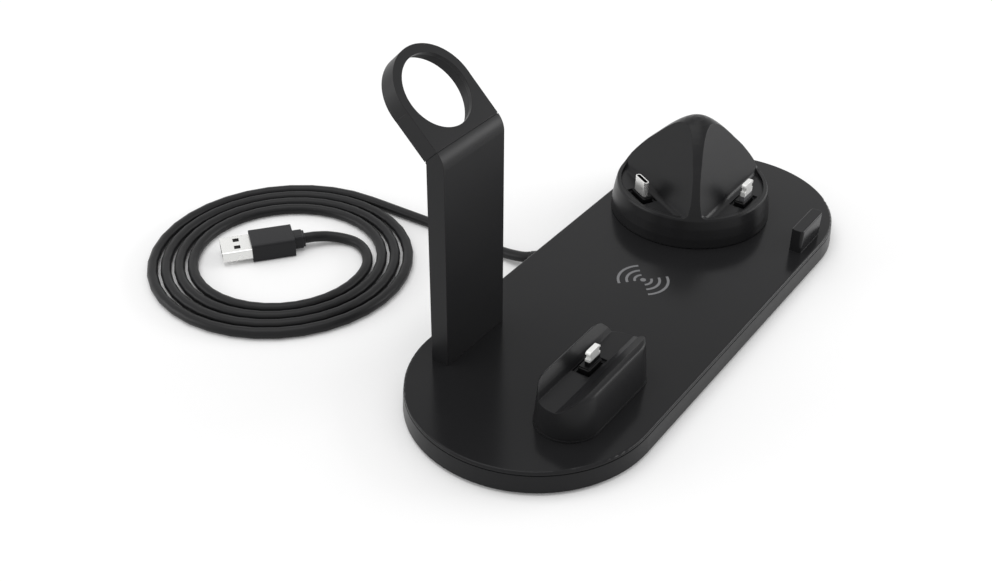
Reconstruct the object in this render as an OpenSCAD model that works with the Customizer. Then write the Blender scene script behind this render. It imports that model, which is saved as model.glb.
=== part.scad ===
// Charging stand: flat base, watch ring on a bent post, earbud dock, turning dock with three plugs, cord.
// Millimetres. Z up, X along the base, the user sits on the minus Y side.

/* [Base] */
// length of the top face
base_len = 225.6; // [215:0.1:260]
// width of the top face
base_w = 88.3; // [86:0.1:100]
// height of the top face above the table
base_h = 9.5; // [9.4:0.1:11]
// how far the wall flares at its foot
base_flare = 0.5; // [0.1:0.1:1]
// rounding of the top edge
base_edge = 0.8; // [0.3:0.1:1]

/* [Watch stand] */
// width of post and ring
post_w = 32.6; // [31:0.2:36]
// thickness of post, arm and ring
stand_t = 6.9; // [6:0.1:7.6]
// height of the crease above the table
crease_z = 89.7; // [72:0.1:112]
// lean of the arm from the vertical
arm_lean = 45.8; // [35:0.1:55]
// crease to ring centre along the arm
arm_len = 20.1; // [18:0.1:30]
// radius of the seat for the watch charger
ring_seat_r = 14.9; // [14:0.1:15]
// radius of the front lip opening
ring_lip_r = 13.1; // [12:0.1:13.5]

/* [Earbud dock] */
// height of the dock above the base
dock_h = 16; // [15:0.5:20]
// half width of the dock at its foot
dock_r = 11.5; // [11:0.1:13]
// length of the straight part
dock_straight = 28.2; // [24:0.1:34]
// lean of the dock wall
dock_lean = 5; // [3:0.5:6]
// rounding of the dock's top edge
dock_round = 1.3; // [0.5:0.1:1.5]

/* [Turning dock] */
// radius of the dock at its foot
turn_r = 31.9; // [31.5:0.1:34]
// height of the seat rim above the base
seat_rim = 12.3; // [12:0.1:13]
// distance of the back rest from the axis at the rim
rest_d = 17.4; // [16:0.1:18.5]
// lean of each back rest from the vertical
rest_lean = 23.7; // [20:0.1:26]
// axis to plug
plug_r = 23; // [22:0.1:24]
// radial clearance of the spindle
spindle_gap = 0.05; // [0.02:0.01:0.1]

/* [Cord] */
// diameter of the cord
cord_d = 4.2; // [3:0.1:4.4]
// outer radius of the coil
coil_ro = 55.3; // [50:0.1:58]
// inner radius of the coil
coil_ri = 30.7; // [26:0.1:34]

/* [Hidden] */
$fn = 64;

// base
rt = base_w / 2;
cx = base_len / 2 - rt;
foot_h = 0.6;
part_z = base_h - 1.3;
case_top = part_z - 0.3;
floor_z = foot_h + 1.6;
wall = 2;
screw_xy = [[-97, 23], [-97, -23], [-20, -36], [30, -36], [30, 36], [97, 23], [97, -23], [-30, 36]];
foot_xy = [[-88, 30], [-88, -30], [0, -36], [0, 36], [88, 30], [88, -30]];
mark_x = 5.1;
mark_y = 0.2;
ferrite_z = base_h - 3.7;

// watch stand
stand_x = -62.3;
post_y = 28.9;
bend_r = 8;
ring_r = post_w / 2 + 0.05;
lip_t = 1.5;
tongue = [26, 4.6, 4.2];
ring_y = post_y + arm_len * sin(arm_lean);
ring_z = crease_z + arm_len * cos(arm_lean);
back_y = ring_y + ring_r * sin(arm_lean) + stand_t * cos(arm_lean);

// the frame origin is the middle of the foot print of stand and base
front_y = -(rt + base_flare);
shift_y = -(front_y + back_y) / 2;

// earbud dock
dock_x = -64;
dock_y = -19.7;
dock_plate = 0.8;
trough_y = 2.6;
trough_z = 10.7;
dock_tip_x = -61.6;

// turning dock
turn_x = 61.8;
turn_y = 11.2;
turn_gap = 0.3;
seat_floor = 11;
seat_round = 2.4;
turn_top = 41;
spindle_r = 6;
spindle_end = 3.1;
seats = [270, 150, 30];
collar_w = [8.6, 9.4, 8.6];
collar_t = 4.2;
collar_foot = 6.8;
collar_top = 12;
ridges = [90, 210, 330];
dome_profile = [[31.9, 0], [31.6, 4], [31, 8], [30.3, 11.5], [29, 14.2], [27.5, 16.9], [25.6, 19.6],
  [23.7, 22], [21.7, 24.4], [19.6, 26.6], [17.5, 28.7], [15.3, 31], [13.3, 33], [11.4, 34.8],
  [9.3, 36.6], [7.2, 38.2], [5, 39.6], [2.6, 40.6], [0.001, 41]];

// phone stop on the cover
stop_size = [18.8, 5, 9.8];
stop_pos = [55.6, -40.4];
stop_round = 1.6;

// cord
cord_r = cord_d / 2;
coil_x = -54.5;
coil_y = 127.9;
gland_z = 5;
gland_r = 2.45;
plug_pos = [-66.9, 149.1];
plug_turn = -38.5;
plug_z = 4;
run_pts = [[-1, rt + 3, gland_z], [-0.9, 54, 4.6], [-0.6, 62.5, 3.2], [-0.2, 73, cord_r],
  [-0.7, 91, cord_r], [-1.3, 109, cord_r], [-2.1, 122, cord_r]];
tail_pts = [[-43.3, 97.1, cord_r], [-37.7, 99.5, cord_r], [-32.7, 104.8, cord_r],
  [-29.9, 111.4, cord_r], [-30.7, 117.7, 2.3], [-34, 123, 3.1], [-38, 126.2, 3.9],
  [-39.7, 127.5, plug_z]];

// one point of a smooth curve between b and c
function mid(a, b, c, d, t) = 0.5 * (2 * b + (c - a) * t + (2 * a - 5 * b + 4 * c - d) * t * t
  + (3 * b - a - 3 * c + d) * t * t * t);
function smooth(p, n) = concat([for (i = [0:len(p) - 2]) for (k = [0:n - 1])
  mid(p[max(i - 1, 0)], p[i], p[i + 1], p[min(i + 2, len(p) - 1)], k / n)], [p[len(p) - 1]]);
function unit(v) = v / norm(v);
function way(p, i) = unit(p[min(i + 1, len(p) - 1)] - p[max(i - 1, 0)]);
function ring_at(p, i, r, s) = let (w = way(p, i), a = unit(cross(w, [0, 0, 1])), b = cross(a, w))
  [for (k = [0:s - 1]) p[i] + r * (cos(360 * k / s) * a + sin(360 * k / s) * b)];

// point of the dome's outline, as wide as its foot asks
function dome_at(i) = [dome_profile[i][0] * turn_r / 31.9, dome_profile[i][1]];

// distance of a back rest from the axis at height z above the base
function rest_at(z) = rest_d - (z - seat_rim) * tan(rest_lean);

module frame() {
  translate([0, shift_y, 0]) children();
}

// tube along a list of points
module tube(p, r, s) {
  n = len(p);
  pts = [for (i = [0:n - 1]) each ring_at(p, i, r, s)];
  sides = [for (i = [0:n - 2]) for (k = [0:s - 1])
    [i * s + k, i * s + (k + 1) % s, (i + 1) * s + (k + 1) % s, (i + 1) * s + k]];
  caps = [[for (k = [s - 1:-1:0]) k], [for (k = [0:s - 1]) (n - 1) * s + k]];
  polyhedron(points = pts, faces = concat(sides, caps), convexity = 6);
}

// round ended slab with straight walls
module slab(r, x, z0, z1) {
  for (s = [-1, 1]) translate([s * x, 0, z0]) cylinder(r = r, h = z1 - z0, $fn = 128);
  translate([-x, -r, z0]) cube([2 * x, 2 * r, z1 - z0]);
}

// round ended body from a half profile with x as the radius
module round_ended(x) {
  for (s = [-1, 1]) translate([s * x, 0, 0]) rotate_extrude($fn = 128) children();
  translate([-x, 0, 0]) rotate([90, 0, 90]) linear_extrude(2 * x) union() {
    children();
    mirror([1, 0]) children();
  }
}

// corner piece to take off a square edge
module edge_off(x, z, r) {
  translate([x - r, z - r]) difference() {
    square([r + 1, r + 1]);
    circle(r, $fn = 32);
  }
}

module cover_half() {
  difference() {
    union() {
      translate([0, part_z]) square([rt, base_h - part_z]);
      translate([0, case_top]) square([rt - 0.7, part_z - case_top + 0.01]);
    }
    edge_off(rt, base_h, base_edge);
  }
}

module top_cover() color([0.09, 0.09, 0.1]) frame() {
  difference() {
    union() {
      round_ended(cx) cover_half();
      difference() {
        slab(rt - 2.4, cx, case_top - 1.2, case_top + 0.1);
        slab(rt - 3.6, cx, case_top - 2, case_top + 1);
        translate([-4.5, rt - 5, case_top - 2]) cube([7, 4, 2]);
      }
      for (p = screw_xy) translate([p[0], p[1], 3.2]) cylinder(r = 3.2, h = case_top - 3.1);
      translate([turn_x, turn_y, 4.4]) cylinder(r = 9, h = case_top - 4.3);
      translate([stand_x - 15, post_y + stand_t / 2 - 4.3, 2.7]) cube([30, 8.6, case_top - 2.6]);
      translate([stop_pos[0], stop_pos[1], base_h - 0.01]) phone_stop();
    }
    for (p = screw_xy) translate([p[0], p[1], 3]) cylinder(r = 1.2, h = case_top - 3 + 0.8);
    translate([turn_x, turn_y, 0]) cylinder(r = spindle_r + spindle_gap, h = 20);
    translate([stand_x, post_y + stand_t / 2, base_h - tongue[2] - 0.1 + 5])
      cube([tongue[0] + 0.3, tongue[1] + 0.3, 10], center = true);
    translate([dock_x, dock_y, base_h]) cube([20.3, 8.3, 12], center = true);
  }
}

// block with rounded corners and rounded long top edges
module phone_stop() {
  l = stop_size[0] / 2;
  w = stop_size[1] / 2;
  translate([l, w, 0]) difference() {
    translate([-l, -w, 0]) cube(stop_size);
    for (x = [0, 1]) for (y = [0, 1]) mirror([x, 0, 0]) mirror([0, y, 0])
      translate([0, 0, -1]) linear_extrude(20) edge_off(l, w, stop_round);
    for (y = [0, 1]) mirror([0, y, 0]) translate([-l - 1, 0, 0]) rotate([90, 0, 90])
      linear_extrude(2 * l + 2) edge_off(w, stop_size[2], 0.7);
  }
}

module case_half() {
  polygon([[0, foot_h], [rt + base_flare - 0.6, foot_h], [rt + base_flare, foot_h + 0.7],
    [rt + 0.1, case_top], [0, case_top]]);
}

module bottom_case() color([0.08, 0.08, 0.09]) frame() {
  difference() {
    union() {
      difference() {
        round_ended(cx) case_half();
        slab(rt - wall, cx, floor_z, base_h);
      }
      for (p = screw_xy) translate([p[0], p[1], foot_h]) cylinder(r = 4, h = 3.2 - foot_h);
      for (s = [-1, 1]) for (y = [-26, 26]) translate([-35 + s * 8, y, floor_z - 0.1])
        cylinder(r = 1.6, h = 3.2 - floor_z + 0.1);
      translate([mark_x, mark_y, floor_z - 0.1]) difference() {
        cylinder(r = 24.5, h = ferrite_z + 0.1 - floor_z, $fn = 96);
        translate([0, 0, -1]) cylinder(r = 22.5, h = 9, $fn = 96);
      }
    }
    for (p = screw_xy) {
      translate([p[0], p[1], 0]) cylinder(r = 1.35, h = 5);
      translate([p[0], p[1], 0]) cylinder(r = 2.7, h = foot_h + 1.4);
    }
    for (p = foot_xy) translate([p[0], p[1], 0]) cylinder(r = 5, h = foot_h + 0.6);
    translate([-1, rt + 6, gland_z]) rotate([90, 0, 0]) cylinder(r = gland_r, h = 12);
  }
}

module rubber_feet() color([0.05, 0.05, 0.05]) frame() {
  for (p = foot_xy) translate([p[0], p[1], 0]) cylinder(r = 5, h = foot_h + 0.6);
}

module case_screws() color([0.5, 0.5, 0.52]) frame() {
  for (p = screw_xy) translate([p[0], p[1], 0]) {
    difference() {
      translate([0, 0, foot_h + 0.1]) cylinder(r = 2.4, h = 1.3);
      translate([-1.6, -0.25, foot_h]) cube([3.2, 0.5, 0.6]);
      translate([-0.25, -1.6, foot_h]) cube([0.5, 3.2, 0.6]);
    }
    translate([0, 0, foot_h + 1.3]) cylinder(r = 1.2, h = 3.8);
  }
}

module main_board() color([0.1, 0.3, 0.15]) frame() {
  translate([-46, -30, 3.2]) cube([22, 60, 1.2]);
  for (p = [[-40, -18, 5, 5], [-40, 4, 6, 6], [-31, -6, 4, 4], [-31, 14, 4, 7]])
    translate([p[0] - p[2] / 2, p[1], 4.39]) cube([p[2], p[3], 1]);
}

module charge_coil() color([0.72, 0.4, 0.2]) frame() {
  translate([mark_x, mark_y, ferrite_z + 0.9]) difference() {
    cylinder(r = 22, h = 1, $fn = 96);
    translate([0, 0, -1]) cylinder(r = 9.5, h = 3);
  }
}

module ferrite_disc() color([0.2, 0.2, 0.21]) frame() {
  translate([mark_x, mark_y, ferrite_z]) cylinder(r = 24, h = 0.9, $fn = 96);
}

// radio wave arcs printed on the cover
module wave_mark() color([0.62, 0.62, 0.63]) frame() {
  translate([mark_x, mark_y, base_h]) linear_extrude(0.08) {
    circle(1.1, $fn = 32);
    for (side = [-1, 1]) for (r = [3.2, 6.2, 9.4]) intersection() {
      difference() {
        circle(r + 0.5, $fn = 96);
        circle(r - 0.5, $fn = 96);
      }
      polygon([[0, 0], [12.6, 11 * side], [12.6, 13 * side], [-12.6, 13 * side], [-12.6, 11 * side]]);
    }
  }
}

// a point of the stand's side view, u along the arm's front from the crease, v into its thickness
function on_arm(u, v) = [post_y + u * sin(arm_lean) + v * cos(arm_lean),
  crease_z + u * cos(arm_lean) - v * sin(arm_lean)];

// side view of post and arm with the bend rounded at the front
module stand_side() {
  t = bend_r * tan(arm_lean / 2);
  c = on_arm(t, bend_r);
  difference() {
    polygon([[post_y, base_h], [post_y, crease_z], on_arm(arm_len, 0), on_arm(arm_len, stand_t),
      [post_y + stand_t, crease_z - stand_t * tan(arm_lean / 2)], [post_y + stand_t, base_h]]);
    difference() {
      polygon([[post_y, crease_z - t], [post_y - 2, crease_z - t], [post_y - 2, crease_z + 3],
        on_arm(t, -2), on_arm(t, 0), c]);
      translate(c) circle(bend_r, $fn = 128);
    }
  }
}

module watch_stand() color([0.09, 0.09, 0.1]) frame() {
  difference() {
    union() {
      translate([stand_x - post_w / 2, 0, 0]) rotate([90, 0, 90]) linear_extrude(post_w) stand_side();
      at_ring() cylinder(r = ring_r, h = stand_t, $fn = 128);
      translate([stand_x - tongue[0] / 2, post_y + (stand_t - tongue[1]) / 2, base_h - tongue[2]])
        cube([tongue[0], tongue[1], tongue[2] + 1]);
    }
    translate([stand_x, post_y, crease_z]) rotate([-arm_lean, 0, 0])
      translate([0, stand_t / 2, bend_r * tan(arm_lean / 2) + 0.2]) difference() {
        cube([post_w + 2, stand_t + 2, 0.24], center = true);
        cube([post_w - 0.5, stand_t - 0.5, 1], center = true);
      }
    at_ring() translate([0, 0, -1]) cylinder(r = ring_lip_r, h = 20, $fn = 128);
    at_ring() translate([0, 0, lip_t]) cylinder(r = ring_seat_r, h = 20, $fn = 128);
  }
}

// middle of the ring's front face, with z going into its thickness
module at_ring() {
  translate([stand_x, ring_y, ring_z]) rotate([-arm_lean - 90, 0, 0]) children();
}

// earbud dock outline with leaning walls, r at the foot, and a rounded top edge
module leaning(r, x, h, round) {
  k = round * tan(45 - dock_lean / 2);
  c = [r - h * tan(dock_lean) - k, h - round];
  arc = [for (i = [0:5]) let (a = dock_lean + (90 - dock_lean) * i / 5) c + round * [cos(a), sin(a)]];
  round_ended(x) polygon(concat([[0, 0], [r, 0]], arc, [[0, h]]));
}

module trough() {
  translate([-40, 0, 0]) rotate([90, 0, 90]) linear_extrude(80)
    polygon([[-8.8, dock_h + 0.6], [-3.2, 11.7], [-1.2, trough_z], [6.2, trough_z], [7.2, 12.6],
      [9.6, dock_h + 0.6]]);
}

module dock_shell() color([0.09, 0.09, 0.1]) frame() {
  x = dock_straight / 2;
  translate([dock_x, dock_y, base_h]) difference() {
    leaning(dock_r, x, dock_h, dock_round);
    translate([-40, -20, -1]) cube([80, 40, 1 + dock_plate]);
    intersection() {
      leaning(dock_r - 1.9, x, dock_h, 0.5);
      translate([-40, -20, -1]) cube([80, 40, trough_z - 0.7]);
    }
    trough();
    translate([dock_tip_x - dock_x, trough_y, trough_z - 0.9]) well(8.4, 4.4);
  }
}

module dock_base() color([0.08, 0.08, 0.09]) frame() {
  x = dock_straight / 2;
  translate([dock_x, dock_y, base_h]) {
    slab(dock_r + 0.15, x, 0, dock_plate);
    translate([-10, -4, -3.2]) cube([20, 8, 3.3]);
    for (s = [-1, 1]) translate([s * 10, trough_y, dock_plate - 0.1]) cylinder(r = 1.6, h = 1.6);
  }
}

module dock_board() color([0.1, 0.3, 0.15]) frame() {
  translate([dock_x - 13, dock_y + trough_y - 5.6, base_h + 2.3]) cube([26, 11.2, 1.2]);
}

// black sleeve of a plug, from its foot to its top, with a flange that lies in the well
module collar(w, t, foot, seat, top) {
  translate([-w / 2, -t / 2, foot]) cube([w, t, top - foot]);
  translate([-w / 2 - 1.2, -t / 2 - 0.9, seat]) cube([w + 2.4, t + 1.8, 0.6]);
}

// stepped hole that a collar stands in, with the step at zero
module well(w, t) {
  translate([-w / 2 - 1.5, -t / 2 - 1.2, 0]) cube([w + 3, t + 2.4, 8]);
  translate([-w / 2 - 0.3, -t / 2 - 0.3, -6]) cube([w + 0.6, t + 0.6, 7]);
}

module dock_collar() color([0.03, 0.03, 0.03]) frame() {
  translate([dock_tip_x, dock_y + trough_y, base_h]) collar(8.4, 4.4, 3.5, trough_z - 0.9, 12.2);
}

// flat contact blade with rounded corners
module blade(h) {
  rotate([90, 0, 0]) translate([0, 0, -0.75]) linear_extrude(1.5) {
    translate([-3.35, 0]) square([6.7, h - 1]);
    translate([-2.35, 0]) square([4.7, h]);
    for (s = [-1, 1]) translate([s * 2.35, h - 1]) circle(1, $fn = 32);
  }
}

module dock_tip() color([0.8, 0.8, 0.8]) frame() {
  translate([dock_tip_x, dock_y + trough_y, base_h + 12.2]) blade(5.8);
}

// everything outside one back rest, above the floor at z
module seat_cut(z, inset) {
  lean = rest_lean;
  d0 = rest_at(z) - inset;
  k = seat_round * tan(45 - lean / 2);
  c = [d0 + k, z + seat_round];
  translate([0, 50, 0]) rotate([90, 0, 0]) linear_extrude(100) difference() {
    polygon([[d0, z], [60, z], [60, 60], [d0 - (60 - z) * tan(lean), 60]]);
    difference() {
      polygon([[d0 - 0.01, z - 0.01], [d0 + k, z - 0.01], c, [d0 - k * sin(lean), z + k * cos(lean)]]);
      translate(c) circle(seat_round, $fn = 64);
    }
  }
}

module turn_solid() {
  difference() {
    rotate_extrude($fn = 160) polygon(concat([[0, turn_gap], [turn_r, turn_gap]],
      [for (i = [1:len(dome_profile) - 1]) dome_at(i)], [[0, turn_top]]));
    for (a = seats) rotate([0, 0, a]) {
      seat_cut(seat_rim, 0);
      intersection() {
        seat_cut(seat_floor, 0);
        cylinder(r = 28.4, h = 60, $fn = 160);
      }
    }
  }
}

module turn_hollow() {
  difference() {
    rotate_extrude($fn = 160) polygon(concat([[0, 0], [turn_r - 2, 0], [turn_r - 2.1, 4]],
      [for (i = [2:15]) dome_at(i) - [2, 1.4]], [[0, 36.8]]));
    for (a = seats) rotate([0, 0, a]) seat_cut(seat_floor - 2, 2.2);
  }
}

module at_turn() {
  translate([turn_x, turn_y, base_h]) children();
}

module turn_shell() color([0.09, 0.09, 0.1]) frame() at_turn() {
  difference() {
    turn_solid();
    difference() {
      turn_hollow();
      for (a = ridges) rotate([0, 0, a]) translate([24, 0, 1.9]) cylinder(r = 3, h = 20);
    }
    for (a = ridges) rotate([0, 0, a]) translate([24, 0, 0]) cylinder(r = 1, h = 9);
    for (i = [0:2]) rotate([0, 0, seats[i]]) translate([plug_r, 0, seat_floor - 0.9]) rotate([0, 0, 90])
      well(collar_w[i], collar_t);
  }
}

module turn_plate() color([0.08, 0.08, 0.09]) frame() at_turn() {
  top = base_h - spindle_end;
  difference() {
    union() {
      translate([0, 0, turn_gap]) cylinder(r = turn_r - 2.1, h = 1.6, $fn = 128);
      translate([0, 0, -top]) cylinder(r = spindle_r, h = top + 1);
      for (a = seats) rotate([0, 0, a]) translate([12, 0, 1.8]) cylinder(r = 2.2, h = 3.8);
    }
    translate([0, 0, -20]) cylinder(r = 3.4, h = 40);
    translate([0, 0, -top + 0.2]) difference() {
      cylinder(r = 9, h = 0.8);
      translate([0, 0, -1]) cylinder(r = 5.2, h = 3);
    }
    for (a = ridges) rotate([0, 0, a]) translate([24, 0, 0]) {
      cylinder(r = 1.2, h = 9);
      cylinder(r = 2.2, h = turn_gap + 0.9);
    }
  }
}

module turn_screws() color([0.5, 0.5, 0.52]) frame() at_turn() {
  for (a = ridges) rotate([0, 0, a]) translate([24, 0, turn_gap + 0.1]) {
    cylinder(r = 2, h = 0.8);
    cylinder(r = 1, h = 7);
  }
}

module turn_board() color([0.1, 0.3, 0.15]) frame() at_turn() {
  translate([0, 0, 5.6]) difference() {
    cylinder(r = 27, h = 1.2, $fn = 96);
    for (a = ridges) rotate([0, 0, a]) translate([24, 0, -1]) cylinder(r = 3.3, h = 4);
    translate([0, 0, -1]) cylinder(r = 3, h = 4);
  }
}

module turn_clip() color([0.5, 0.5, 0.52]) frame() {
  translate([turn_x, turn_y, spindle_end + 0.2]) difference() {
    cylinder(r = 8.2, h = 0.8);
    translate([0, 0, -1]) cylinder(r = 5.2, h = 3);
    rotate(45) translate([0, -2, -1]) cube([20, 4, 4]);
  }
}

module at_seat(i) {
  frame() at_turn() rotate([0, 0, seats[i]]) translate([plug_r, 0, 0]) rotate([0, 0, 90]) children();
}

module blade_collar() color([0.03, 0.03, 0.03]) at_seat(0) {
  collar(collar_w[0], collar_t, collar_foot, seat_floor - 0.9, collar_top);
}

module blade_tip() color([0.8, 0.8, 0.8]) at_seat(0) {
  translate([0, 0, collar_top]) blade(7.8);
}

module round_collar() color([0.03, 0.03, 0.03]) at_seat(1) {
  collar(collar_w[1], collar_t, collar_foot, seat_floor - 0.9, collar_top);
}

// hollow oval plug
module round_tip() color([0.75, 0.75, 0.76]) at_seat(1) {
  translate([0, 0, collar_top]) difference() {
    oval(8.25, 2.4, 7.2);
    translate([0, 0, 1]) oval(7.3, 1.45, 9);
  }
}

module oval(w, t, h) {
  for (s = [-1, 1]) translate([s * (w - t) / 2, 0, 0]) cylinder(d = t, h = h, $fn = 48);
  translate([-(w - t) / 2, -t / 2, 0]) cube([w - t, t, h]);
}

module micro_collar() color([0.03, 0.03, 0.03]) at_seat(2) {
  collar(collar_w[2], collar_t, collar_foot, seat_floor - 0.9, collar_top);
}

// flat plug with two sloped corners
module micro_tip() color([0.75, 0.75, 0.76]) at_seat(2) {
  translate([0, 0, collar_top]) difference() {
    linear_extrude(6.4) polygon([[-3.4, -0.9], [3.4, -0.9], [3.4, 0.2], [2.6, 0.9], [-2.6, 0.9], [-3.4, 0.2]]);
    translate([0, 0, 1]) linear_extrude(9) polygon([[-3.1, -0.6], [3.1, -0.6], [3.1, 0.1], [2.45, 0.6],
      [-2.45, 0.6], [-3.1, 0.1]]);
  }
}

module cord_gland() color([0.04, 0.04, 0.04]) frame() {
  translate([-1, rt - wall - 1, gland_z]) rotate([-90, 0, 0]) difference() {
    union() {
      cylinder(r = gland_r, h = wall + 2);
      translate([0, 0, wall + base_flare + 1.05]) cylinder(r1 = 3, r2 = 2.6, h = 3);
    }
    translate([0, 0, -1]) cylinder(r = cord_r, h = 20);
  }
}

module cord_run() color([0.05, 0.05, 0.05]) frame() {
  tube(smooth(concat([[-1, rt - wall - 4, gland_z], [-1, rt - 2, gland_z]], run_pts), 2), cord_r, 12);
}

module cord_coil() color([0.05, 0.05, 0.05]) frame() {
  translate([coil_x, coil_y, 0]) rotate_extrude($fn = 160) difference() {
    translate([coil_ri, 0]) square([coil_ro - coil_ri, cord_d]);
    edge_off(coil_ro, cord_d, 1.5);
    translate([coil_ri + 1.5, cord_d - 1.5]) mirror([1, 0]) difference() {
      square([3, 3]);
      circle(1.5, $fn = 32);
    }
  }
}

module cord_tail() color([0.05, 0.05, 0.05]) frame() {
  tube(smooth(tail_pts, 3), cord_r, 12);
}

module at_plug() {
  frame() translate([plug_pos[0], plug_pos[1], plug_z]) rotate([0, 0, plug_turn]) children();
}

module usb_shell() color([0.75, 0.75, 0.76]) at_plug() {
  difference() {
    translate([0, -6, -2.25]) cube([18, 12, 4.5]);
    translate([-1, -5.7, -1.95]) cube([18, 11.4, 3.9]);
    for (s = [-1, 1]) translate([5, s * 2.6 - 1.2, 1]) cube([2.4, 2.4, 3]);
  }
}

module usb_tongue() color([0.85, 0.85, 0.85]) at_plug() {
  translate([0.4, -5.7, -1.95]) cube([15.6, 11.4, 1.9]);
}

module usb_contacts() color([0.8, 0.65, 0.3]) at_plug() {
  for (y = [-3.5, -1, 1, 3.5]) translate([1.4, y - 0.5, -0.05]) cube([7, 1, 0.1]);
}

module usb_housing() color([0.05, 0.05, 0.05]) at_plug() {
  difference() {
    translate([11.6, -6.4, -4]) cube([17, 12.8, 8]);
    translate([11, -6, -2.25]) cube([7, 12, 4.5]);
  }
}

module usb_boot() color([0.05, 0.05, 0.05]) at_plug() {
  difference() {
    union() {
      translate([28.6, -3.4, -3]) cube([4.6, 6.8, 6]);
      translate([33.1, 0, 0]) rotate([0, 90, 0]) cylinder(r1 = 2.9, r2 = 2.5, h = 1.6);
    }
    translate([28, 0, 0]) rotate([0, 90, 0]) cylinder(r = cord_r, h = 10);
  }
}

top_cover();
bottom_case();
rubber_feet();
case_screws();
main_board();
charge_coil();
ferrite_disc();
wave_mark();
watch_stand();
dock_shell();
dock_base();
dock_board();
dock_collar();
dock_tip();
turn_shell();
turn_plate();
turn_screws();
turn_board();
turn_clip();
blade_collar();
blade_tip();
round_collar();
round_tip();
micro_collar();
micro_tip();
cord_gland();
cord_run();
cord_coil();
cord_tail();
usb_boot();
usb_housing();
usb_shell();
usb_tongue();
usb_contacts();
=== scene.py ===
"""Looks of a black charging stand with a watch ring, an earbud dock, a turning dock and a coiled cord.

All sizes in the classes are millimetres in the frame of the part's source; meshes are made in metres.
"""

import logging
import math
from collections.abc import Callable
from dataclasses import dataclass
from enum import Enum

import bmesh
import bpy
from mathutils import Matrix, Vector


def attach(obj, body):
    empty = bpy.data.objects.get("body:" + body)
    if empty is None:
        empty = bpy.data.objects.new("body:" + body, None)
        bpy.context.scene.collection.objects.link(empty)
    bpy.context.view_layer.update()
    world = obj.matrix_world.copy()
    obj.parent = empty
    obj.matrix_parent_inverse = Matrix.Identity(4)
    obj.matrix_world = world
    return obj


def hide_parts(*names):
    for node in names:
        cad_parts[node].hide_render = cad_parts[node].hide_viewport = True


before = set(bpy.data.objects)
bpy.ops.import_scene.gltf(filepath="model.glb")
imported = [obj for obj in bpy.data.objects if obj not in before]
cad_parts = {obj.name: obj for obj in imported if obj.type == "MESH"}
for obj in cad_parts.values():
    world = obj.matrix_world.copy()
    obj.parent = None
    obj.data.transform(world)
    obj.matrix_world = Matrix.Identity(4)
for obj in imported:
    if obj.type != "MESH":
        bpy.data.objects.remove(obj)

log = logging.getLogger("charging_stand")
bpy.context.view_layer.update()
MM = 0.001
# The source counts Y from the middle of the base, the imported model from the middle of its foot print.
SHIFT_Y = -7.596
Point = tuple[float, float, float]


class Body(Enum):
    """The bodies that pieces ride on."""

    BASE = "base"
    TURNING = "turning_dock"


class Seat(Enum):
    """The turning dock's seats, by the direction in degrees that each one faces."""

    FRONT = 270.0
    LEFT = 150.0
    RIGHT = 30.0


def spot(point: Point) -> Vector:
    """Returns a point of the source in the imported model's frame, in millimetres."""
    return Vector(point) + Vector((0, SHIFT_Y, 0))


def linear(hex_colour: str) -> tuple[float, float, float, float]:
    """Turns an sRGB hex colour to linear values.

    Args:
        hex_colour: six hex digits, such as "2b2b2d".

    Returns:
        Red, green, blue and alpha for a shader socket.
    """
    parts = [int(hex_colour[i : i + 2], 16) / 255 for i in (0, 2, 4)]
    r, g, b = [p / 12.92 if p <= 0.04045 else ((p + 0.055) / 1.055) ** 2.4 for p in parts]
    return (r, g, b, 1.0)


def add_node(
    tree: bpy.types.NodeTree, kind: str, links: dict | None = None, **settings: object
) -> bpy.types.Node:
    """Adds one node with its settings and links.

    Args:
        tree: the node tree that gets the node.
        kind: the node's type name.
        links: input name or index to an output socket of another node.
        settings: values for inputs (by name) or properties of the node.

    Returns:
        The new node.
    """
    node = tree.nodes.new(kind)
    for key, value in settings.items():
        if hasattr(node, key):
            setattr(node, key, value)
        else:
            socket = next(s for s in node.inputs if s.name.lower() == key.replace("_", " "))
            socket.default_value = value
    for key, output in (links or {}).items():
        tree.links.new(output, node.inputs[key])
    return node


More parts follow.
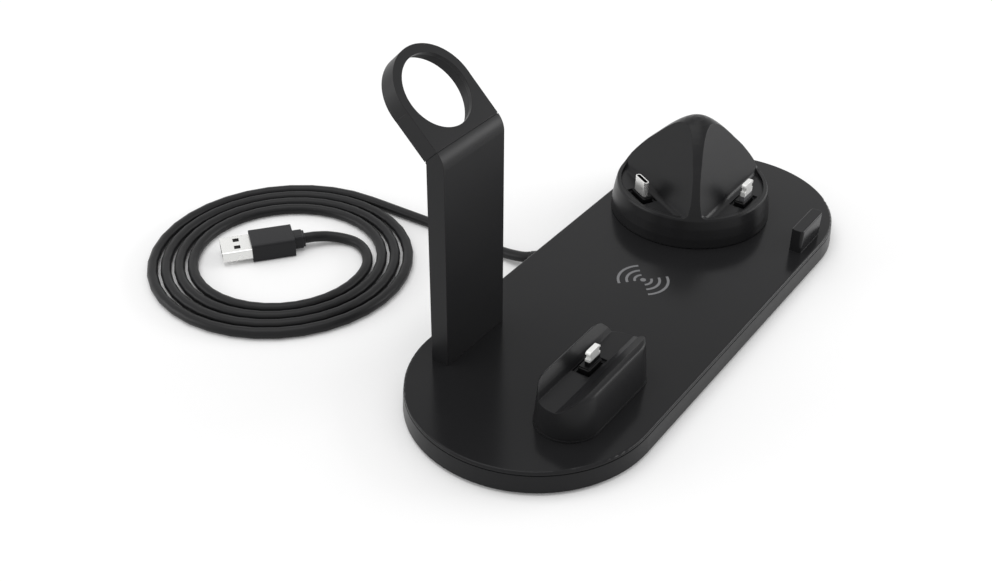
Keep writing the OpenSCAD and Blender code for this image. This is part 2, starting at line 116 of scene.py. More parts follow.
@dataclass(frozen=True)
class Finish:
    """A surface finish that builds one material with fine relief.

    Args:
        name: the material's name.
        colour: sRGB hex colour.
        rough: roughness of the surface.
        ior: index of refraction, for anything but metal.
        metal: 1 for bare metal, less where a dull skin lies over it.
        grain: size of the relief's grain in millimetres, drawn coarser than real so that it shows.
        relief: height of the relief in millimetres.
        spread: how far the roughness varies up and down.
        patch: size in millimetres of the places that are duller or brighter.
        shine: specular level, 0.5 for an even dielectric.
        edge: radius in millimetres that sharp edges look rounded to.
    """

    name: str
    colour: str
    rough: float
    ior: float = 1.5
    metal: float = 0.0
    grain: float = 0.4
    relief: float = 0.002
    spread: float = 0.02
    patch: float = 14.0
    shine: float = 0.5
    edge: float = 0.25

    def build(self) -> bpy.types.Material:
        """Builds the material, or finds it where it is built already.

        Returns:
            The material.
        """
        if self.name in bpy.data.materials:
            return bpy.data.materials[self.name]
        material = bpy.data.materials.new(self.name)
        material.use_nodes = True
        tree = material.node_tree
        tree.nodes.clear()
        shader = add_node(tree, "ShaderNodeBsdfPrincipled", metallic=self.metal)
        shader.inputs["Base Color"].default_value = linear(self.colour)
        if not self.metal:
            shader.inputs["Specular IOR Level"].default_value = self.shine
            shader.inputs["IOR"].default_value = self.ior
        skin = {"Vector": add_node(tree, "ShaderNodeTexCoord").outputs["Object"]}
        grain = add_node(tree, "ShaderNodeTexNoise", skin, scale=1 / (self.grain * MM), detail=3.0)
        sheen = add_node(tree, "ShaderNodeTexNoise", skin, scale=1 / (self.patch * MM), detail=2.0)
        rough = add_node(
            tree,
            "ShaderNodeMapRange",
            {"Value": sheen.outputs["Fac"]},
            from_min=0.3,
            from_max=0.7,
            to_min=self.rough - self.spread,
            to_max=self.rough + self.spread,
        )
        rounded = add_node(tree, "ShaderNodeBevel", samples=6, radius=self.edge * MM)
        bump = add_node(
            tree,
            "ShaderNodeBump",
            {"Height": grain.outputs["Fac"], "Normal": rounded.outputs["Normal"]},
            strength=1.0,
            distance=self.relief * MM,
        )
        tree.links.new(rough.outputs["Result"], shader.inputs["Roughness"])
        tree.links.new(bump.outputs["Normal"], shader.inputs["Normal"])
        add_node(tree, "ShaderNodeOutputMaterial", {"Surface": shader.outputs["BSDF"]})
        return material


# ABS moulded in a fine-polished tool: deep black with a soft mirror image of what stands on it.
COVER_ABS = Finish("moulded_abs_satin", "1f1f20", 0.18, 1.53, grain=0.35, relief=0.0012, shine=0.115)
# The watch stand comes from a tool with a finer grain, so its mirror images are more blurred.
STAND_ABS = Finish("moulded_abs_fine_grain", "1f1f20", 0.37, 1.53, grain=0.35, relief=0.0016, shine=0.15)
# The docks are smoother and their edges rounder, so the lamps draw soft bright lines along them.
DOCK_ABS = Finish(
    "moulded_abs_dock", "1f1f20", 0.3, 1.53, grain=0.35, relief=0.0016, shine=0.12, edge=0.45
)
# The same ABS from a spark-eroded tool: the case and the bottom plates look a little duller.
CASE_ABS = Finish("moulded_abs_case", "1f1f20", 0.3, 1.53, grain=0.35, relief=0.002, shine=0.115)
# Nylon of the plug collars: deep black and dull. The earbud plug's foot takes it too, as a painted
# reflection of the collar in the metal.
COLLAR_NYLON_AND_PAINTED_REFLECTION = Finish("nylon_collar_and_painted_reflection", "0e0e0f", 0.4, 1.53, shine=0.2)
# Matt nickel of the flat plugs: blasted before plating, so it stays light over the black docks.
MATT_NICKEL = Finish("matt_nickel_plug", "e6e6e4", 0.34, metal=0.25, grain=0.2, relief=0.001, edge=0.12)
# Nickel of the drawn shells: shinier than the blasted plugs, so their round sides show a shade.
SHELL_NICKEL = Finish(
    "nickel_plated_shell", "e8e8e6", 0.28, metal=0.75, grain=0.25, relief=0.001, edge=0.12
)
# Grey at the foot of the front plug: a painted reflection of the dark collar below it.
FOOT_PAINTED_REFLECTION = Finish("plug_foot_painted_reflection", "6c6c6e", 0.4, metal=0.3, grain=0.2, relief=0.001)
# Black insulator of the plug tongues. The plugs' inner metal walls and the window floors take it too, as
# painted shade.
INSULATOR_AND_PAINTED_SHADE = Finish("black_insulator_and_painted_shade", "101011", 0.5, 1.6, shine=0.1)
# Grey ink of the printed wave mark, dull on the satin cover.
WAVE_INK = Finish("printed_grey_ink", "6d6d6f", 0.6, edge=0.02)
# Soft jacket of the cord: a flexible plastic with a faint satin skin.
CORD_JACKET = Finish("soft_tpe_jacket", "19191a", 0.4, grain=0.6, relief=0.004, shine=0.2)
# Moulded PVC of the housing and the boot: black, with a dull sheen that tells its flat sides apart.
HOUSING_PVC = Finish("moulded_pvc_housing", "1e1e20", 0.34, 1.52, grain=0.5, relief=0.004, shine=0.18)
# Moulded silicone of the feet: black and without shine.
FOOT_RUBBER = Finish("silicone_rubber_foot", "1a1a1a", 0.7, 1.43, shine=0.3)
# Zinc plated steel of the screws and the spring ring: bright and cool.
SCREW_ZINC = Finish("zinc_plated_steel", "b4b4b8", 0.3, metal=1.0)
# Glass fibre boards under green lacquer: deep green with a clear shine.
BOARD_LACQUER = Finish("lacquered_glass_board", "1f5a30", 0.3)
# Enamelled copper wire of the charging coil: warm red-brown metal.
COIL_COPPER = Finish("enamelled_copper_wire", "b8693d", 0.3, metal=1.0)
# Sintered ferrite under the coil: dark and dull as slate.
FERRITE = Finish("sintered_ferrite", "3b3b3f", 0.6, 2.0)
# Gold plated contacts: warm yellow on the black tongue.
CONTACT_GOLD = Finish("gold_plated_contact", "d8ae58", 0.2, metal=1.0)


class Shape:
    """A mesh modelled step by step in edit mode, in millimetres about its own origin.

    Args:
        name: the piece's name.
    """

    SHARP = math.radians(35)
    SMOOTH = math.radians(32)

    def __init__(self, name: str) -> None:
        """Names the shape; block() or hoop() starts its mesh."""
        self.name = name
        self.piece: bpy.types.Object | None = None

    def _take(self) -> "Shape":
        """Keeps the new active object as this shape's mesh."""
        self.piece = bpy.context.object
        self.piece.name = self.name
        bpy.ops.object.transform_apply(location=True, rotation=True, scale=True)
        return self

    def _pick(self) -> None:
        """Makes this shape the only selected object and the active one."""
        bpy.ops.object.select_all(action="DESELECT")
        self.piece.select_set(True)
        bpy.context.view_layer.objects.active = self.piece

    def block(self, size: Point, low: Point) -> "Shape":
        """Starts from a block.

        Args:
            size: length along X, Y and Z.
            low: the corner with the lowest X, Y and Z.

        Returns:
            This shape.
        """
        bpy.ops.object.select_all(action="DESELECT")
        middle = (Vector(low) + Vector(size) / 2) * MM
        bpy.ops.mesh.primitive_cube_add(size=1, location=middle)
        bpy.context.object.scale = Vector(size) * MM
        return self._take()

    def hoop(self, radius: float, vertices: int) -> "Shape":
        """Starts from an open round edge around the Z axis.

        Args:
            radius: radius of the edge.
            vertices: how many points it has.

        Returns:
            This shape.
        """
        bpy.ops.object.select_all(action="DESELECT")
        bpy.ops.mesh.primitive_circle_add(vertices=vertices, radius=radius * MM, fill_type="NOTHING")
        return self._take()

    def open(self) -> "Shape":
        """Goes to edit mode with this shape only."""
        self._pick()
        bpy.ops.object.mode_set(mode="EDIT")
        return self

    def close(self) -> "Shape":
        """Goes back to object mode."""
        bpy.ops.object.mode_set(mode="OBJECT")
        return self

    def faces(self, test: Callable[[Vector, Vector], bool]) -> "Shape":
        """Selects faces by their place and normal.

        Args:
            test: says whether a face with this middle (mm) and normal is wanted.

        Returns:
            This shape.
        """
        bpy.ops.mesh.select_mode(type="FACE")
        bpy.ops.mesh.select_all(action="DESELECT")
        mesh = bmesh.from_edit_mesh(self.piece.data)
        for face in mesh.faces:
            face.select_set(test(face.calc_center_median() / MM, face.normal))
        bmesh.update_edit_mesh(self.piece.data)
        return self

    def edges(self, test: Callable[[Vector, Vector], bool]) -> "Shape":
        """Selects edges by their place and direction.

        Args:
            test: says whether an edge with this middle (mm) and direction is wanted.

        Returns:
            This shape.
        """
        bpy.ops.mesh.select_mode(type="EDGE")
        bpy.ops.mesh.select_all(action="DESELECT")
        mesh = bmesh.from_edit_mesh(self.piece.data)
        for edge in mesh.edges:
            a, b = (v.co / MM for v in edge.verts)
            edge.select_set(test((a + b) / 2, (b - a).normalized()))
        bmesh.update_edit_mesh(self.piece.data)
        return self

    def bevel(self, width: float, segments: int) -> "Shape":
        """Rounds the selected edges.

        Args:
            width: radius of the rounding.
            segments: how many flats make it.

        Returns:
            This shape.
        """
        bpy.ops.mesh.bevel(offset=width * MM, segments=segments, affect="EDGES", clamp_overlap=True)
        return self

    def inset(self, width: float) -> "Shape":
        """Insets the selected faces by a width in millimetres."""
        bpy.ops.mesh.inset(thickness=width * MM, use_even_offset=True)
        return self

    def extrude(self, way: Point) -> "Shape":
        """Extrudes what is selected along a vector in millimetres."""
        bpy.ops.mesh.extrude_region_move(TRANSFORM_OT_translate={"value": Vector(way) * MM})
        return self

    def draw(self, height: float) -> "Shape":
        """Extrudes the selected open edge upwards by a height in millimetres."""
        bpy.ops.mesh.extrude_edges_move(TRANSFORM_OT_translate={"value": (0, 0, height * MM)})
        return self

    def widen(self, factor: float, centre: Point) -> "Shape":
        """Scales what is selected about a centre in millimetres, flat in XY."""
        bpy.ops.transform.resize(value=(factor, factor, 1), center_override=Vector(centre) * MM)
        return self

    def cut(self, z: float) -> "Shape":
        """Divides the whole shape along a level plane."""
        bpy.ops.mesh.select_all(action="SELECT")
        bpy.ops.mesh.bisect(plane_co=(0, 0, z * MM), plane_no=(0, 0, 1))
        return self

    def carve(self, cutter: "Shape") -> "Shape":
        """Takes another shape away from this one.

        Args:
            cutter: the shape that is taken away; it is deleted.

        Returns:
            This shape.
        """
        carve = self.piece.modifiers.new("carve", "BOOLEAN")
        carve.operation, carve.solver, carve.object = "DIFFERENCE", "EXACT", cutter.piece
        self.apply(carve)
        bpy.data.objects.remove(cutter.piece, do_unlink=True)
        return self

    def soften(self, width: float, segments: int = 2) -> "Shape":
        """Rounds every sharp edge a little.

        Args:
            width: radius of the rounding.
            segments: how many flats make it.

        Returns:
            This shape.
        """
        soft = self.piece.modifiers.new("soften", "BEVEL")
        soft.width, soft.segments = width * MM, segments
        soft.limit_method, soft.angle_limit = "ANGLE", self.SHARP
        self.apply(soft)
        return self

    def apply(self, modifier: bpy.types.Modifier) -> None:
        """Applies one modifier of this shape."""
        self._pick()
        bpy.ops.object.modifier_apply(modifier=modifier.name)

    def finish(
        self,
        finishes: list[Finish],
        second: Callable[[Vector], bool],
        place: Matrix,
        body: Body,
        node: str,
    ) -> None:
        """Dresses the shape and puts it in its place on a body.

        Args:
            finishes: one finish, or two.
            second: says whether a face with this middle (mm) takes the second finish.
            place: from the shape's own millimetres to the model's.
            body: the body that it rides on.
            node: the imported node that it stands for.
        """
        piece = self.piece
        for finish in finishes:
            piece.data.materials.append(finish.build())
        for face in piece.data.polygons:
            face.material_index = int(len(finishes) > 1 and second(face.center / MM))
        piece.matrix_world = Matrix.Scale(MM, 4) @ place @ Matrix.Scale(1 / MM, 4)
        self._pick()
        bpy.ops.object.transform_apply(location=True, rotation=True, scale=True)
        bpy.ops.object.shade_smooth_by_angle(angle=self.SMOOTH)
        flat = piece.modifiers.new("flat", "WEIGHTED_NORMAL")
        flat.weight, flat.keep_sharp = 100, True
        self.apply(flat)
        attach(piece, body.value)
        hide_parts(node)
        log.info("%s: %d faces", piece.name, len(piece.data.polygons))


def dress(finish: Finish, *nodes: str) -> None:
    """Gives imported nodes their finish.

    Args:
        finish: the finish.
        nodes: names of the nodes.
    """
    for name in nodes:
        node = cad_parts[name]
        node.data.materials.clear()
        node.data.materials.append(finish.build())


def never(_: Vector) -> bool:
    """Says that no face takes the second finish."""
    return False


@dataclass
class Base:
    """The flat round-ended base with its case, inner pieces and strain relief.

    Args:
        gland: where the cord leaves the back wall.
        gland_aim: point behind it that the strain relief points to.
        gland_long: how far it stands out of the wall.
        wall: how deep it reaches into the wall.
        neck: its radius inside the wall.
        flange: its radius at the wall.
        tip: its radius at the end.
    """

    gland: Point = (-1.0, 44.75, 5.0)
    gland_aim: Point = (-1.4, 47.9, 4.6)
    gland_long: float = 2.05
    wall: float = 2.6
    neck: float = 2.4
    flange: float = 3.1
    tip: float = 2.69

    def strain_relief(self) -> None:
        """Models the tapered sleeve from a round edge that is extruded step by step."""
        end = self.wall + self.gland_long
        sleeve = Shape("strain_relief").hoop(self.neck, 40).open()
        bpy.ops.mesh.select_all(action="SELECT")
        z, r = 0.0, self.neck
        for z_next, r_next in ((self.wall, self.neck), (self.wall, self.flange), (end, self.tip)):
            sleeve.draw(z_next - z).widen(r_next / r, (0, 0, z_next))
            z, r = z_next, r_next
        bpy.ops.mesh.edge_face_add()
        sleeve.edges(lambda m, d: m.z < 0.01)
        bpy.ops.mesh.edge_face_add()
        bpy.ops.mesh.select_all(action="SELECT")
        bpy.ops.mesh.normals_make_consistent(inside=False)
        sleeve.close().soften(0.12)
        start = spot(self.gland)
        turn = (spot(self.gland_aim) - start).to_track_quat("Z", "X").to_matrix().to_4x4()
        place = Matrix.Translation(start) @ turn @ Matrix.Translation((0, 0, -self.wall))
        sleeve.finish([CORD_JACKET], never, place, Body.BASE, "cord_gland")

    def build(self) -> None:
        """Dresses the cover, the case and what is inside, and builds the strain relief."""
        dress(COVER_ABS, "top_cover")
        dress(CASE_ABS, "bottom_case")
        dress(WAVE_INK, "wave_mark")
        dress(FOOT_RUBBER, "rubber_feet")
        dress(SCREW_ZINC, "case_screws")
        dress(BOARD_LACQUER, "main_board")
        dress(COIL_COPPER, "charge_coil")
        dress(FERRITE, "ferrite_disc")
        self.strain_relief()


@dataclass
class Collar:
    """Black collar that a plug stands in, with a step around the plug.

    Args:
        name: the piece's name.
        node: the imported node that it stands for.
        body: the body that it rides on.
        place: from the collar's own axes, X across and Z up from its shoulder, to the model's.
        size: width, thickness and height of the part below the step.
        corner: radius of the upright edges.
        step: width of the step.
        rise: height of the step.
    """

    name: str
    node: str
    body: Body
    place: Matrix
    size: Point
    corner: float = 0.6
    step: float = 0.3
    rise: float = 0.6

    def build(self) -> None:
        """Models the collar from a block: rounded upright edges, an inset top drawn out, soft edges."""
        w, t, h = self.size
        collar = Shape(self.name).block(self.size, (-w / 2, -t / 2, -h)).open()
        collar.edges(lambda m, d: abs(d.z) > 0.9).bevel(self.corner, 3)
        collar.faces(lambda m, n: n.z > 0.9).inset(self.step).extrude((0, 0, self.rise))
        collar.close().soften(0.1)
        collar.finish([COLLAR_NYLON_AND_PAINTED_REFLECTION], never, self.place, self.body, self.node)


@dataclass
class BladePlug:
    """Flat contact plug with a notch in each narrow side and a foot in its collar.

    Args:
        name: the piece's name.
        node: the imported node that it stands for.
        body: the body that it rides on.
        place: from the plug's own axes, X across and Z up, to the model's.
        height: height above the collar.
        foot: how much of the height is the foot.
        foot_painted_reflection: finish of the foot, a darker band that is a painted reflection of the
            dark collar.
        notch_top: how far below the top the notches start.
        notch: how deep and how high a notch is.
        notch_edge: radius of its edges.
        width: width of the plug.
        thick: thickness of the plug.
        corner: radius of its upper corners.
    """

    name: str
    node: str
    body: Body
    place: Matrix
    height: float
    foot: float
    foot_painted_reflection: Finish
    notch_top: float
    notch: tuple[float, float] = (0.9, 1.7)
    notch_edge: float = 0.25
    width: float = 6.7
    thick: float = 1.9
    corner: float = 1.0

    def build(self) -> None:
        """Models the plug from a block: rounded corners, divided foot, carved notches, soft edges."""
        w, t, h = self.width, self.thick, self.height
        plug = Shape(self.name).block((w, t, h), (-w / 2, -t / 2, 0)).open()
        plug.edges(lambda m, d: abs(d.y) > 0.9 and m.z > h - 0.01).bevel(self.corner, 5)
        plug.cut(self.foot).close()
        deep, high = self.notch
        for side in (-1, 1):
            low = (side * w / 2 - deep, -t, h - self.notch_top - high)
            cutter = Shape("notch_cutter").block((2 * deep, 2 * t, high), low).open()
            cutter.edges(lambda m, d: abs(d.y) > 0.9).bevel(self.notch_edge, 3).close()
            plug.carve(cutter)
        plug.soften(0.12)
        # The foot takes a darker finish as a painted reflection of the dark collar.
        finishes = [MATT_NICKEL, self.foot_painted_reflection]
        plug.finish(finishes, lambda m: m.z < self.foot, self.place, self.body, self.node)


@dataclass
class HollowPlug:
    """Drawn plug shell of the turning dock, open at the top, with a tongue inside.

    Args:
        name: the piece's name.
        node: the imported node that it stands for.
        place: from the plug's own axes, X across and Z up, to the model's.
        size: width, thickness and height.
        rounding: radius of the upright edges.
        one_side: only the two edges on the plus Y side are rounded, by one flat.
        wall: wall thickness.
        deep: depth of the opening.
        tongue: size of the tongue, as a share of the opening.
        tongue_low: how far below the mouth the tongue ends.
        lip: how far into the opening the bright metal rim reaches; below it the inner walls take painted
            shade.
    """

    name: str
    node: str
    place: Matrix
    size: Point
    rounding: float
    one_side: bool = False
    wall: float = 0.5
    deep: float = 5.6
    tongue: float = 0.72
    tongue_low: float = 1.2
    lip: float = 0.12

    def build(self) -> None:
        """Models the shell from a block: rounded sides, a mouth pushed in, a tongue out of its floor."""
        w, t, h = self.size
        plug = Shape(self.name).block(self.size, (-w / 2, -t / 2, 0)).open()
        plug.edges(lambda m, d: abs(d.z) > 0.9 and (m.y > 0 or not self.one_side))
        plug.bevel(self.rounding, 1 if self.one_side else 8)
        plug.faces(lambda m, n: n.z > 0.9).inset(self.wall).extrude((0, 0, -self.deep))
        plug.extrude((0, 0, 0)).widen(self.tongue, (0, 0, h))
        plug.extrude((0, 0, self.deep - self.tongue_low)).close().soften(0.08)
        inside = self.wall - 0.02

        def insulator_and_painted_shade(m: Vector) -> bool:
            """Says whether a face lies inside the shell: the tongue in its own black, and the shell's
            inner walls and floor in painted shade.
            """
            within = abs(m.y) < t / 2 - inside and abs(m.x) < w / 2 - inside
            return within and 0.5 < m.z < h - self.lip

        # The insulator's black is the tongue's own colour and painted shade on the shell's inner metal
        # walls and floor.
        plug.finish([SHELL_NICKEL, INSULATOR_AND_PAINTED_SHADE], insulator_and_painted_shade, self.place, Body.TURNING, self.node)


@dataclass
class EarbudDock:
    """The earbud dock with its trough and flat plug.

    Args:
        collar_at: shoulder of the collar.
        collar: width, thickness and height of the collar.
        plug_at: foot of the plug on its collar.
        plug_high: height of the plug.
    """

    collar_at: Point = (-61.6, -17.1, 21.2)
    collar: Point = (8.4, 4.4, 3.4)
    plug_at: Point = (-61.1, -17.7, 21.7)
    plug_high: float = 5.8

    def build(self) -> None:
        """Dresses the shell and what is under it, and models the collar and the plug."""
        dress(DOCK_ABS, "dock_shell")
        dress(CASE_ABS, "dock_base")
        dress(BOARD_LACQUER, "dock_board")
        place = Matrix.Translation(spot(self.collar_at))
        Collar("earbud_collar", "dock_collar", Body.BASE, place, self.collar).build()
        BladePlug(
            "earbud_plug",
            "dock_tip",
            Body.BASE,
            Matrix.Translation(spot(self.plug_at)),
            height=self.plug_high,
            foot=2.0,
            # Black on the plug's foot: a painted reflection of the collar.
            foot_painted_reflection=COLLAR_NYLON_AND_PAINTED_REFLECTION,
            notch_top=1.1,
        ).build()


@dataclass
class TurningDock:
    """The turning dock with its shell and three plugs.

    Args:
        axis: foot of its axis on the cover.
        plug_r: axis to plug.
        plug_foot: height of the plugs' feet above the cover.
        collar: thickness and height of the collars.
        oval: width, thickness and height of the oval plug.
        flat: width, thickness and height of the flat hollow plug.
    """

    axis: Point = (61.8, 11.2, 9.5)
    plug_r: float = 23.0
    plug_foot: float = 12.0
    collar: tuple[float, float] = (4.2, 3.4)
    oval: Point = (7.8, 2.4, 6.8)
    flat: Point = (6.8, 1.8, 6.4)

    def at(self, seat: Seat, outward: float = 0.0) -> Matrix:
        """Finds a plug's place in a seat.

        Args:
            seat: the seat that it stands in.
            outward: how far outward of the seat's middle it stands.

        Returns:
            From the plug's own axes, X across and Z up, to the model's.
        """
        centre = Matrix.Translation(spot(self.axis) + Vector((0, 0, self.plug_foot)))
        facing = centre @ Matrix.Rotation(math.radians(seat.value), 4, "Z")
        out = Matrix.Translation((self.plug_r + outward, 0, 0))
        return facing @ out @ Matrix.Rotation(math.pi / 2, 4, "Z")

    def build(self) -> None:
        """Dresses the shell and what is inside, and models the three plugs in their collars."""
        dress(DOCK_ABS, "turn_shell")
        dress(CASE_ABS, "turn_plate")
        dress(SCREW_ZINC, "turn_screws", "turn_clip")
        dress(BOARD_LACQUER, "turn_board")
        seats = ((Seat.FRONT, "blade", 8.6), (Seat.LEFT, "round", 9.4), (Seat.RIGHT, "micro", 8.6))
        for seat, name, width in seats:
            size = (width, *self.collar)
            Collar(f"{name}_plug_collar", f"{name}_collar", Body.TURNING, self.at(seat), size).build()
        BladePlug(
            "front_plug",
            "blade_tip",
            Body.TURNING,
            self.at(Seat.FRONT, 0.8),
            height=7.8,
            foot=2.6,
            # Grey on the plug's foot: a painted reflection of the collar.
            foot_painted_reflection=FOOT_PAINTED_REFLECTION,
            notch_top=1.5,
        ).build()
        oval, flat = self.at(Seat.LEFT, 0.5), self.at(Seat.RIGHT)
        HollowPlug("oval_plug", "round_tip", oval, self.oval, rounding=1.1).build()
        HollowPlug("flat_plug", "micro_tip", flat, self.flat, 0.7, one_side=True, wall=0.3).build()


@dataclass
class WatchStand:
    """The bent post with the ring for a watch charger."""

    def build(self) -> None:
        """Dresses the one moulding that it is."""
        dress(STAND_ABS, "watch_stand")


@dataclass
class CordPlug:
    """The plug at the end of the cord: shell, tongue, housing and boot.

    Args:
        at: middle of the shell's mouth.
        turn: its direction in degrees.
        shell: length, width and height of the shell.
        shell_edge: radius of its long edges.
        sheet: thickness of its sheet.
        back: thickness of the mouth's floor.
        window: side and depth of the two square windows in its top; their floors take painted shade.
        window_at: how far they start behind the mouth and lie beside the middle.
        housing: length, width and height of the housing.
        housing_edge: radius of its long edges.
        housing_lip: how far its mouth is drawn in.
        grip: where the housing starts behind the mouth.
        boot: length, width and height of the boot.
        boot_edge: radius of its long edges.
        boot_neck: how much narrower its end is all round, and how long.
    """

    at: Point = (-67.45, 149.54, 4.0)
    turn: float = -38.5
    shell: Point = (18.0, 12.0, 4.5)
    shell_edge: float = 0.6
    sheet: float = 0.3
    back: float = 1.0
    window: tuple[float, float] = (2.4, 0.22)
    window_at: tuple[float, float] = (5.0, 2.6)
    housing: Point = (17.0, 12.8, 8.0)
    housing_edge: float = 1.1
    housing_lip: float = 0.35
    grip: float = 11.6
    boot: Point = (3.6, 6.8, 6.0)
    boot_edge: float = 1.4
    boot_neck: tuple[float, float] = (0.5, 0.9)

    def place(self) -> Matrix:
        """Returns where the plug lies, X from its mouth to the cord."""
        return Matrix.Translation(spot(self.at)) @ Matrix.Rotation(math.radians(self.turn), 4, "Z")

    def metal(self) -> None:
        """Models the shell: rounded edges, a mouth pushed in and two square windows on top."""
        length, wide, high = self.shell
        shell = Shape("plug_shell").block(self.shell, (0, -wide / 2, -high / 2)).open()
        shell.edges(lambda m, d: abs(d.x) > 0.9).bevel(self.shell_edge, 4)
        shell.faces(lambda m, n: n.x < -0.9).inset(self.sheet).extrude((length - self.back, 0, 0))
        shell.close()
        side, deep = self.window
        start, beside = self.window_at
        for way in (-1, 1):
            low = (start, way * beside - side / 2, high / 2 - deep)
            shell.carve(Shape("window_cutter").block((side, side, high), low))
        shell.soften(0.06)
        near = 0.03

        def insulator_and_painted_shade(m: Vector) -> bool:
            """Says whether a face lies inside the mouth or on a window's floor, where the insulator's
            black is painted shade on the metal.
            """
            wall = self.sheet - near
            mouth = abs(m.y) < wide / 2 - wall and abs(m.z) < high / 2 - wall and m.x > self.sheet
            floor = high / 2 - deep - near < m.z < high / 2 - near
            across = abs(abs(m.y) - beside) < side / 2 + near
            return mouth or (floor and across and start - near < m.x < start + side + near)

        # Painted shade: the metal inside the mouth and on the window floors takes the insulator's black.
        shell.finish([SHELL_NICKEL, INSULATOR_AND_PAINTED_SHADE], insulator_and_painted_shade, self.place(), Body.BASE, "usb_shell")

    def moulding(self) -> None:
        """Models the housing with a drawn-in mouth and the boot with its rounded end."""
        length, wide, high = self.housing
        housing = Shape("plug_housing").block(self.housing, (self.grip, -wide / 2, -high / 2)).open()
        housing.edges(lambda m, d: abs(d.x) > 0.9).bevel(self.housing_edge, 4)
        lip = self.housing_lip
        housing.faces(lambda m, n: n.x < -0.9).inset(lip).extrude((lip, 0, 0)).close().soften(lip, 3)
        housing.finish([HOUSING_PVC], never, self.place(), Body.BASE, "usb_housing")
        _, wide, high = self.boot
        boot = Shape("plug_boot").block(self.boot, (self.grip + length, -wide / 2, -high / 2)).open()
        boot.edges(lambda m, d: abs(d.x) > 0.9).bevel(self.boot_edge, 4)
        narrow, neck = self.boot_neck
        boot.faces(lambda m, n: n.x > 0.9).inset(narrow).extrude((neck, 0, 0)).close().soften(0.6, 3)
        boot.finish([HOUSING_PVC], never, self.place(), Body.BASE, "usb_boot")

    def build(self) -> None:
        """Builds the shell, the housing and the boot, and dresses the tongue and its contacts."""
        dress(INSULATOR_AND_PAINTED_SHADE, "usb_tongue")
        dress(CONTACT_GOLD, "usb_contacts")
        self.metal()
        self.moulding()


@dataclass
class Cord:
    """The coiled cord from the base to its plug.

    Args:
        radius: half the cord's thickness.
        run: the stretch from the strain relief to the coil.
        centre: middle of the coil on the table.
        first_radius: radius of the spiral's first point.
        pitch: how much nearer the middle each turn lies.
        turned: degrees that the spiral turns.
        apart: degrees between two of its points.
        stretch: how much longer than wide the coil lies.
        along: direction of its longer way.
        tail: the stretch from the coil to the plug.
    """

    radius: float = 2.1
    run: tuple[Point, ...] = (
        (-1, 47.15, 4.9),
        (-1.9, 51, 4.0),
        (-1.9, 60, 2.7),
        (-0.9, 73, 2.1),
        (-0.7, 91, 2.1),
        (-1.3, 109, 2.1),
    )
    centre: tuple[float, float] = (-54.5, 127.9)
    first_radius: float = 52.17
    pitch: float = 5.08
    turned: float = 1370.0
    apart: float = 10.0
    stretch: float = 1.018
    along: tuple[float, float] = (0.5746, -0.8184)
    tail: tuple[Point, ...] = (
        (-37.7, 99.5, 2.1),
        (-32.7, 104.8, 2.1),
        (-29.9, 111.4, 2.1),
        (-30.7, 117.7, 2.3),
        (-34, 123, 3.1),
        (-38, 126.2, 3.9),
        (-39.7, 127.5, 4),
        (-42.6, 129.8, 4),
    )

    def spiral(self) -> list[Point]:
        """Lays the coil on the table.

        Returns:
            The coil's points.
        """
        along = Vector(self.along)
        points = []
        steps = int(self.turned / self.apart)
        for i in range(steps + 1):
            turn = self.turned * i / steps
            r = self.first_radius - self.pitch * turn / 360
            out = Vector((math.cos(math.radians(turn)), math.sin(math.radians(turn)))) * r
            out += along * out.dot(along) * (self.stretch - 1)
            points.append((self.centre[0] + out.x, self.centre[1] + out.y, self.radius))
        return points

    def route(self) -> list[Vector]:
        """Joins the stretches.

        Returns:
            The cord's whole path in metres.
        """
        coil, parts = self.spiral(), 6
        start = smooth(list(self.run) + coil[:2], parts)[:-parts]
        end = smooth(coil[-2:] + list(self.tail), parts)
        return [spot(p) * MM for p in start + coil[1:-2] + end]

    def build(self) -> None:
        path = self.route()
        data = bpy.data.curves.new("cord", "CURVE")
        data.dimensions = "3D"
        data.bevel_depth = self.radius * MM
        data.bevel_resolution = 5
        data.use_fill_caps = True
        spline = data.splines.new("POLY")
        spline.points.add(len(path) - 1)
        for point, p in zip(spline.points, path):
            point.co = (*p, 1)
        spline.use_smooth = True
        cord = bpy.data.objects.new("cord", data)
        bpy.context.scene.collection.objects.link(cord)
        cord.data.materials.append(CORD_JACKET.build())
        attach(cord, Body.BASE.value)
        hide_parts("cord_run", "cord_coil", "cord_tail")


def smooth(points: list[Point], parts: int) -> list[Point]:
    """Lays a smooth curve through points.

    Args:
        points: the points that the curve passes.
        parts: how many stretches lie between two of them.

    Returns:
        The points of the curve.
    """
    p = [Vector(q) for q in points]
    out = []
    for i in range(len(p) - 1):
        a, b, c, d = p[max(i - 1, 0)], p[i], p[i + 1], p[min(i + 2, len(p) - 1)]
        for k in range(parts):
            t = k / parts
            bend = (2 * a - 5 * b + 4 * c - d) * t * t + (3 * b - a - 3 * c + d) * t * t * t
            out.append(tuple(0.5 * (2 * b + (c - a) * t + bend)))
    return out + [tuple(p[-1])]


@dataclass(frozen=True)
class Lamp:
    """A soft lamp that faces the object.

    Args:
        name: the lamp's name.
        azimuth: its direction in degrees from plus X.
        elevation: its height in degrees.
        away: its distance in metres.
        size: its width and height in metres.
        watts: its power.
        aim: point that it faces, in metres.
    """

    name: str
    azimuth: float
    elevation: float
    away: float
    size: tuple[float, float]
    watts: float
    aim: Point = (0, 0.02, 0.03)

    def hang(self) -> None:
        """Hangs the lamp in its place."""
        data = bpy.data.lights.new(self.name, "AREA")
        data.shape, data.energy = "RECTANGLE", self.watts
        data.size, data.size_y = self.size
        lamp = bpy.data.objects.new(self.name, data)
        bpy.context.scene.collection.objects.link(lamp)
        az, el = math.radians(self.azimuth), math.radians(self.elevation)
        way = Vector((math.cos(az) * math.cos(el), math.sin(az) * math.cos(el), math.sin(el)))
        lamp.location = way * self.away + Vector(self.aim)
        lamp.rotation_euler = way.to_track_quat("Z", "Y").to_euler()


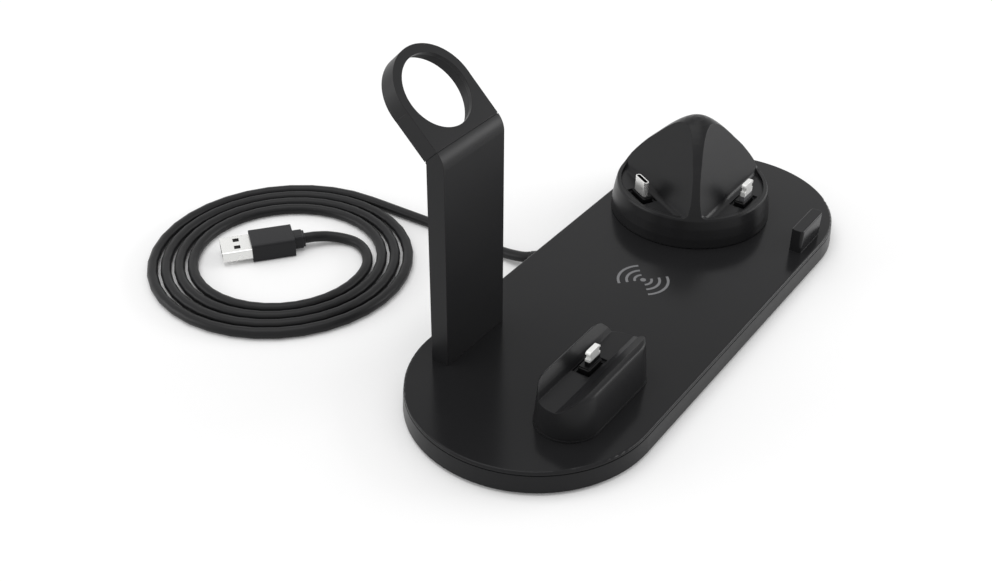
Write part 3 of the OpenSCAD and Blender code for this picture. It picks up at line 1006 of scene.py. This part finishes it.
@dataclass
class Studio:
    """Camera, floor, lamps and world.

    Args:
        azimuth: camera direction in degrees.
        elevation: camera height in degrees.
        roll: camera roll in degrees.
        distance: camera to target.
        focal_px: focal length in pixels of the picture.
        picture_px: width of the picture in pixels.
        target: point that the camera looks at.
        sky: strength of the world for everything but mirror images and the camera.
        floor_white: how much light the floor gives back.
        floor_glow: light that the floor adds for mirror images and the camera.
        floor_radius: radius of the floor in metres.
        lamps: the soft lamps, the first above and the others low at the sides.
    """

    azimuth: float = -54.931
    elevation: float = 35.595
    roll: float = 0.305
    distance: float = 495.098
    focal_px: float = 1297.112
    picture_px: int = 992
    target: Point = (-23.884, 39.804, 1.6)
    sky: float = 0.62
    floor_white: float = 0.92
    floor_glow: float = 0.06
    floor_radius: float = 6.0
    lamps: tuple[Lamp, ...] = (
        Lamp("lamp_top", 120, 80, 2.0, (1.6, 1.6), 15),
        Lamp("lamp_right", -45, 14, 1.3, (0.9, 0.5), 7),
        Lamp("lamp_back", 130, 12, 1.3, (0.9, 0.6), 4.6),
    )

    def camera(self) -> None:
        """Places the camera at the photograph's viewing angle."""
        az, el, roll = (math.radians(v) for v in (self.azimuth, self.elevation, self.roll))
        back = Vector((math.sin(az) * math.cos(el), -math.cos(az) * math.cos(el), math.sin(el)))
        level = Vector((math.cos(az), math.sin(az), 0))
        up = back.cross(level)
        right = math.cos(roll) * level + math.sin(roll) * up
        up = math.cos(roll) * up - math.sin(roll) * level
        data = bpy.data.cameras.new("camera")
        data.sensor_width = 36
        data.lens = self.focal_px * data.sensor_width / self.picture_px
        data.clip_start, data.clip_end = 0.01, 50
        camera = bpy.data.objects.new("camera", data)
        bpy.context.scene.collection.objects.link(camera)
        turn = Matrix((right, up, back)).transposed().to_4x4()
        place = (Vector(self.target) + back * self.distance) * MM
        camera.matrix_world = Matrix.Translation(place) @ turn
        bpy.context.scene.camera = camera

    @staticmethod
    def seen(tree: bpy.types.NodeTree) -> bpy.types.NodeSocket:
        """Tells what is seen from what is only lit.

        Args:
            tree: the node tree that gets the nodes.

        Returns:
            A socket that is 1 for the camera, mirror images and what is seen through glass.
        """
        rays = add_node(tree, "ShaderNodeLightPath").outputs
        straight = {0: rays["Is Camera Ray"], 1: rays["Is Glossy Ray"]}
        either = add_node(tree, "ShaderNodeMath", straight, operation="MAXIMUM")
        all_three = {0: either.outputs[0], 1: rays["Is Transmission Ray"]}
        return add_node(tree, "ShaderNodeMath", all_three, operation="MAXIMUM").outputs[0]

    def floor(self) -> None:
        """Lays a pale floor that turns white for the camera and keeps the object's shadow."""
        bpy.ops.object.select_all(action="DESELECT")
        bpy.ops.mesh.primitive_circle_add(vertices=96, radius=self.floor_radius, fill_type="NGON")
        floor = bpy.context.object
        floor.name = "floor"
        material = bpy.data.materials.new("pale_floor")
        material.use_nodes = True
        tree = material.node_tree
        tree.nodes.clear()
        paint = add_node(tree, "ShaderNodeBsdfDiffuse")
        paint.inputs["Color"].default_value = (*[self.floor_white] * 3, 1)
        glow = add_node(tree, "ShaderNodeEmission", strength=self.floor_glow)
        none = add_node(tree, "ShaderNodeEmission", strength=0.0)
        ways = {0: self.seen(tree), 1: none.outputs[0], 2: glow.outputs[0]}
        lift = add_node(tree, "ShaderNodeMixShader", ways)
        both = add_node(tree, "ShaderNodeAddShader", {0: paint.outputs[0], 1: lift.outputs[0]})
        add_node(tree, "ShaderNodeOutputMaterial", {"Surface": both.outputs[0]})
        floor.data.materials.append(material)

    def light(self) -> None:
        """Sets the world and hangs the lamps."""
        world = bpy.data.worlds.new("studio")
        bpy.context.scene.world = world
        world.use_nodes = True
        tree = world.node_tree
        sky = tree.nodes["Background"]
        sky.inputs["Color"].default_value = (1, 1, 1, 1)
        spread = {"Value": self.seen(tree)}
        level = add_node(tree, "ShaderNodeMapRange", spread, to_min=self.sky, to_max=1.0)
        tree.links.new(level.outputs["Result"], sky.inputs["Strength"])
        for lamp in self.lamps:
            lamp.hang()

    def build(self) -> None:
        """Sets up everything that isn't the object."""
        self.camera()
        self.floor()
        self.light()
        bpy.context.scene.view_settings.view_transform = "Standard"


def main() -> None:
    """Builds the studio and the sub-assemblies in order."""
    logging.basicConfig(level=logging.INFO, format="%(name)s: %(message)s")
    for part in (Studio(), CordPlug(), Cord(), Base(), WatchStand(), EarbudDock(), TurningDock()):
        part.build()
        log.info("%s built", type(part).__name__)
    bpy.context.view_layer.update()


if __name__ == "__main__":
    main()
